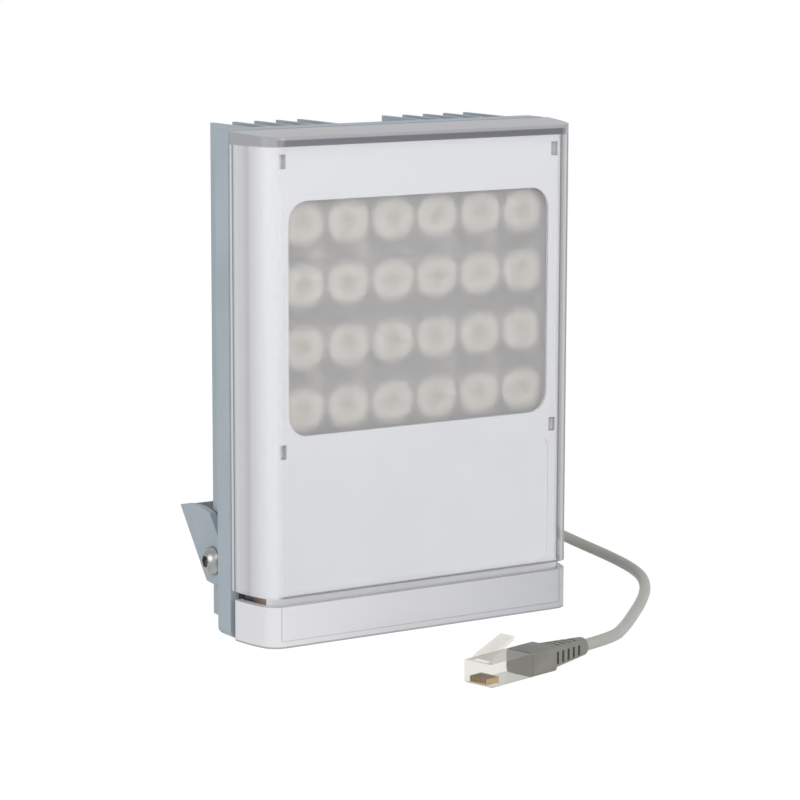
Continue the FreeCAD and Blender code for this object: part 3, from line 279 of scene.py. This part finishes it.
# painted shade and highlight: the slab's edge is a grey band, paler on the outward side faces, under a pale
# painted rim
painted_slab_edge = add(tree, "Mix", {0: outside, 6: "#63646B", 7: "#A6A5AC"}, data_type="RGBA").outputs[2]
painted_slab_edge = add(tree, "Mix", {0: rim_highlight, 6: painted_slab_edge, 7: "#A6A6AD"}, data_type="RGBA").outputs[2]
wall = add(tree, "Mix", {0: slab, 6: wall, 7: painted_slab_edge}, data_type="RGBA").outputs[2]
roof = add(tree, "Math", {0: slab, 1: upward}, operation="MULTIPLY").outputs[0]
haze_and_shade = add(tree, "Mix", {0: roof, 6: wall, 7: "#94949D"}, data_type="RGBA").outputs[2]
haze_and_shade = add(tree, "BsdfPrincipled", {"Base Color": haze_and_shade, "Roughness": 0.3}).outputs["BSDF"]
milky = add(tree, "MapRange", {"Value": side, "To Min": FACE_HAZE, "To Max": SIDE_HAZE}).outputs["Result"]
greyed = add(tree, "MapRange", {"Value": along, "To Max": WALL_HAZE}).outputs["Result"]
block = add(tree, "MapRange", {"Value": slab, "To Max": WALL_HAZE}).outputs["Result"]
opacity = add(tree, "Math", {0: greyed, 1: milky}, operation="MAXIMUM").outputs[0]
opacity = add(tree, "Math", {0: opacity, 1: block}, operation="MAXIMUM").outputs[0]
through = add(tree, "BsdfTransparent").outputs["BSDF"]
body = add(tree, "MixShader", {0: opacity, 1: through, 2: haze_and_shade}).outputs["Shader"]
gloss = add(tree, "BsdfAnisotropic", {"Roughness": 0.08}).outputs["BSDF"]
close_passing(tree, polish(tree, body, gloss, 1.3, 0.3), through)

# Toughened glass of the inner window: colourless and mirror smooth, and lamps shine through it
GLASS_TINT = "#FDFDFE"
WINDOW_GLASS, tree = new_material("toughened_glass")
pane = add(tree, "BsdfPrincipled", {"Base Color": GLASS_TINT, "Roughness": 0, "IOR": 1.5,
                                    "Transmission Weight": 1}).outputs["BSDF"]
close_passing(tree, pane, add(tree, "BsdfTransparent", {"Color": GLASS_TINT}).outputs["BSDF"])

# Moulded acrylic collimators: the light their skirts throw back is painted on as a painted reflection, pale
# warm discs with a darker eye and ring, and painted shade dims them towards the strips above and below their
# row
LENS_REFLECTION_RINGS = [(0.0, "#A29D93"), (0.2, "#BFBBB2"), (0.38, "#A5A097"), (0.55, "#BFBBB3"), (0.95, "#B9B7B2")]
DIM_FROM, DIM_TO = 1.5 * MM, 6.5 * MM
LENS_ACRYLIC, tree = new_material("lens_acrylic")
own_place = add(tree, "TexCoord").outputs["Generated"]
centred = add(tree, "VectorMath", {0: own_place, 1: (0.5, 0, 0.5)}, operation="SUBTRACT").outputs["Vector"]
flat = add(tree, "VectorMath", {0: centred, 1: (1, 0, 1)}, operation="MULTIPLY").outputs["Vector"]
radius = add(tree, "VectorMath", {0: flat}, operation="LENGTH").outputs["Value"]
radius = add(tree, "MapRange", {"Value": radius, "From Max": 0.5}).outputs["Result"]
# painted reflection: rings by distance from the lens's middle
reflection_rings = add(tree, "ValToRGB", {"Fac": radius}, LENS_REFLECTION_RINGS).outputs["Color"]
lit = add(tree, "MapRange", {"Value": off_strip(tree, position(tree)["Z"]), "From Min": DIM_FROM,
                             "From Max": DIM_TO}).outputs["Result"]
# painted shade: darker towards the strips between the rows
row_shaded = add(tree, "Mix", {0: lit, 6: "#404046", 7: reflection_rings}, data_type="RGBA").outputs[2]
disc = add(tree, "BsdfPrincipled", {"Base Color": row_shaded, "Roughness": 0.5}).outputs["BSDF"]
close_passing(tree, disc, add(tree, "BsdfTransparent").outputs["BSDF"])

# Frosted diffuser film: it blurs what is behind it and lays a thin white veil over it
VEIL_SHARE = 0.16
DIFFUSER, tree = new_material("frosted_diffuser")
frost = add(tree, "BsdfPrincipled", {"Base Color": "#EBE8E3", "Roughness": 0.55, "IOR": 1.45,
                                     "Transmission Weight": 1}).outputs["BSDF"]
veil = add(tree, "BsdfDiffuse", {"Color": "#CBCBCD"}).outputs["BSDF"]
film = add(tree, "MixShader", {0: VEIL_SHARE, 1: frost, 2: veil}).outputs["Shader"]
close_passing(tree, film, add(tree, "BsdfTransparent").outputs["BSDF"])

# Translucent polypropylene of the bottom cap: milky, greyer to the right where less light fills its inside.
# The floor and the side walls inside it show as fine lines, and its foot as a grey edge. Half of the light
# passes it, so its shadow is weak
CAP_LEFT, CAP_RIGHT = -58 * MM, 62 * MM
FLOOR_LINE = 2.3 * MM, 2.5 * MM, 2.6 * MM, 2.8 * MM
WALL_LINE = 59.0 * MM, 59.2 * MM, 59.4 * MM, 59.6 * MM
FOOT_EDGE = 0.4 * MM, 0.8 * MM
CAP_PLASTIC, tree = new_material("translucent_polypropylene")
place = position(tree)
across = add(tree, "Math", {0: place["X"]}, operation="ABSOLUTE").outputs[0]
over = add(tree, "MapRange", {"Value": place["Z"], "From Min": FLOOR_LINE[0],
                              "From Max": FLOOR_LINE[1]}).outputs["Result"]
under = add(tree, "MapRange", {"Value": place["Z"], "From Min": FLOOR_LINE[2], "From Max": FLOOR_LINE[3],
                               "To Min": 1, "To Max": 0}).outputs["Result"]
outer = add(tree, "MapRange", {"Value": across, "From Min": WALL_LINE[0],
                               "From Max": WALL_LINE[1]}).outputs["Result"]
inner = add(tree, "MapRange", {"Value": across, "From Min": WALL_LINE[2], "From Max": WALL_LINE[3],
                               "To Min": 1, "To Max": 0}).outputs["Result"]
floor_line = add(tree, "Math", {0: over, 1: under}, operation="MINIMUM").outputs[0]
floor_line = add(tree, "Math", {0: floor_line, 1: inner}, operation="MULTIPLY").outputs[0]
wall_line = add(tree, "Math", {0: outer, 1: inner}, operation="MINIMUM").outputs[0]
wall_line = add(tree, "Math", {0: wall_line, 1: over}, operation="MULTIPLY").outputs[0]
line = add(tree, "Math", {0: floor_line, 1: wall_line}, operation="MAXIMUM").outputs[0]
right = add(tree, "MapRange", {"Value": place["X"], "From Min": CAP_LEFT,
                               "From Max": CAP_RIGHT}).outputs["Result"]
foot = add(tree, "MapRange", {"Value": place["Z"], "From Min": FOOT_EDGE[0], "From Max": FOOT_EDGE[1],
                              "To Min": 1, "To Max": 0}).outputs["Result"]
milk = mottle(tree, 30 * MM, "#E0E0E2", "#E4E4E6")
milk = add(tree, "Mix", {0: right, 6: milk, 7: "#C2C3C8"}, data_type="RGBA").outputs[2]
shade = add(tree, "Mix", {0: right, 6: "#C2C3C7", 7: "#9C9DA2"}, data_type="RGBA").outputs[2]
milk = add(tree, "Mix", {0: line, 6: milk, 7: shade}, data_type="RGBA").outputs[2]
milk = add(tree, "Mix", {0: foot, 6: milk, 7: "#A2A3A8"}, data_type="RGBA").outputs[2]
milk = add(tree, "BsdfPrincipled", {"Base Color": milk, "Roughness": 0.35,
                                    "Normal": grain(tree, 0.6 * MM, 0.03)}).outputs["BSDF"]
close_passing(tree, milk, add(tree, "BsdfTransparent").outputs["BSDF"], 0.5)

# Clear polycarbonate of the network plug: water-clear faces with a bright polish, and painted shade that
# darkens them along its edges
FACE_FILM, EDGE_FILM = 0.12, 0.7
PLUG_PC, tree = new_material("plug_polycarbonate")
along = grazing(tree, 0.45, 0.9)
# painted shade: the colour turns dark where the eye runs along a face
film = add(tree, "Mix", {0: along, 6: "#E4E2DC", 7: "#45443E"}, data_type="RGBA").outputs[2]
film = add(tree, "BsdfPrincipled", {"Base Color": film, "Roughness": 0.2}).outputs["BSDF"]
share = add(tree, "MapRange", {"Value": along, "To Min": FACE_FILM, "To Max": EDGE_FILM}).outputs["Result"]
through = add(tree, "BsdfTransparent", {"Color": "#F6F5F2"}).outputs["BSDF"]
body = add(tree, "MixShader", {0: share, 1: through, 2: film}).outputs["Shader"]
gloss = add(tree, "BsdfAnisotropic", {"Roughness": 0.05,
                                      "Normal": grain(tree, 2 * MM, 0.45, 0.25 * MM)}).outputs["BSDF"]
close_passing(tree, polish(tree, body, gloss, 1.58, 0.6), through)

FINISHES = {
    "heatsink_housing": POWDER_COAT, "bracket": POWDER_COAT,
    "housing_gasket": SILICONE, "gland_seal": SILICONE,
    "inner_frame": WHITE_ABS, "mask_plate": WHITE_ABS, "front_cover": COVER_PC,
    "inner_window": WINDOW_GLASS, "diffuser_sheet": DIFFUSER, "bottom_cap": CAP_PLASTIC,
    "sensor_window_left": TINTED, "sensor_window_right": TINTED,
    "led_board_left": LENS_BOARD_PAINTED_SHADE, "led_board_right": LENS_BOARD_PAINTED_SHADE,
    "leds_left": PHOSPHOR, "leds_right": PHOSPHOR,
    "board_screws": STAINLESS, "frame_screws": STAINLESS, "bottom_cap_screws": STAINLESS,
    "driver_screws": STAINLESS, "bracket_screws": STAINLESS, "bracket_washers": STAINLESS,
    "driver_board": GREEN_BOARD, "driver_standoffs": BRASS, "driver_transformer": BLACK_PHENOLIC,
    "driver_capacitors": SLEEVE, "driver_terminal": GREEN_NYLON, "photocell": AMBER,
    "gland_body": GLAND_NYLON, "gland_lock_nut": GLAND_NYLON, "gland_dome_nut": GLAND_NYLON,
    "plug_boot": BOOT_PVC, "plug_body": PLUG_PC, "plug_contacts": GOLD, "cord": JACKET,
}

for name, node in NODES.items():
    finish = LENS_ACRYLIC if name.startswith("lens_") else FINISHES[name]
    node.data.materials.clear()
    node.data.materials.append(finish)


# Cord: one smooth line through the route, whose points are X, depth and Z in millimetres

CORD_DIAMETER = 4.2
ROUTE = [
    (0, 48, 61), (0, 71, 61), (17, 97, 57), (56, 110, 42), (96, 101, 20), (119, 77, 6),
    (122, 47, 2.2), (114, 22, 2.2), (101, 2, 2.2), (86, -15, 2.2), (70, -31, 2.2),
    (54, -47, 2.8), (37.99, -62.06, 4.4), (21.4, -66.2, 4.4),
]
cord_line = bpy.data.curves.new("network_cord", "CURVE")
cord_line.dimensions = "3D"
cord_line.bevel_depth = CORD_DIAMETER / 2 * MM
cord_line.bevel_resolution = 6
cord_line.resolution_u = 12
spline = cord_line.splines.new("NURBS")
spline.points.add(len(ROUTE) - 1)
for point, (x, depth, z) in zip(spline.points, ROUTE):
    point.co = (x * MM, (FRONT + depth) * MM, z * MM, 1)
spline.order_u = 3
spline.use_endpoint_u = True
cord_line.materials.append(JACKET)
cord = bpy.data.objects.new("network_cord", cord_line)
bpy.context.collection.objects.link(cord)
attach(cord, "housing")
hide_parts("cord")


# Stage: a white floor that shows only the object's soft shadow, and a white world

FLOOR = 3
FLOOR_GLOW, GLOW_SHARE = 1.12, 0.85
floor_mesh = bpy.data.meshes.new("floor")
floor_mesh.from_pydata([(-FLOOR, -FLOOR, 0), (FLOOR, -FLOOR, 0), (FLOOR, FLOOR, 0), (-FLOOR, FLOOR, 0)],
                       [], [(0, 1, 2, 3)])
floor = bpy.data.objects.new("floor", floor_mesh)
bpy.context.collection.objects.link(floor)
made, tree = new_material("studio_floor")
matt = add(tree, "BsdfDiffuse", {"Color": (0.8, 0.8, 0.8, 1)}).outputs["BSDF"]
glow = add(tree, "Emission", {"Strength": FLOOR_GLOW}).outputs["Emission"]
share = add(tree, "Math", {0: seen_as_background(tree), 1: GLOW_SHARE}, operation="MULTIPLY").outputs[0]
close(tree, add(tree, "MixShader", {0: share, 1: matt, 2: glow}).outputs["Shader"])
floor_mesh.materials.append(made)

WORLD_LIGHT, WORLD_SEEN = 0.42, 1.0
world = bpy.data.worlds.new("studio")
bpy.context.scene.world = world
world.use_nodes = True
tree = world.node_tree
tree.nodes.clear()
strength = add(tree, "MapRange", {"Value": seen_as_background(tree), "To Min": WORLD_LIGHT,
                                  "To Max": WORLD_SEEN}).outputs["Result"]
sky = add(tree, "Background", {"Color": "#FFFFFF", "Strength": strength})
add(tree, "OutputWorld", {"Surface": sky.outputs["Background"]})


def lamp(name, at, size, power):
    """A square soft box that faces the middle of the unit."""
    light = bpy.data.objects.new(name, bpy.data.lights.new(name, "AREA"))
    light.data.shape = "SQUARE"
    light.data.size = size
    light.data.energy = power
    light.location = at
    light.rotation_euler = (Vector(UNIT_MIDDLE) - Vector(at)).to_track_quat("-Z", "Y").to_euler()
    bpy.context.collection.objects.link(light)


UNIT_MIDDLE = (0, -0.01, 0.09)
lamp("key_lamp", at=(-0.6, -1.3, 1.1), size=0.9, power=5.6)
lamp("side_lamp", at=(-1.5, -0.1, 0.5), size=0.9, power=8)
lamp("fill_lamp", at=(0.4, -1.5, 0.33), size=0.6, power=7.9)
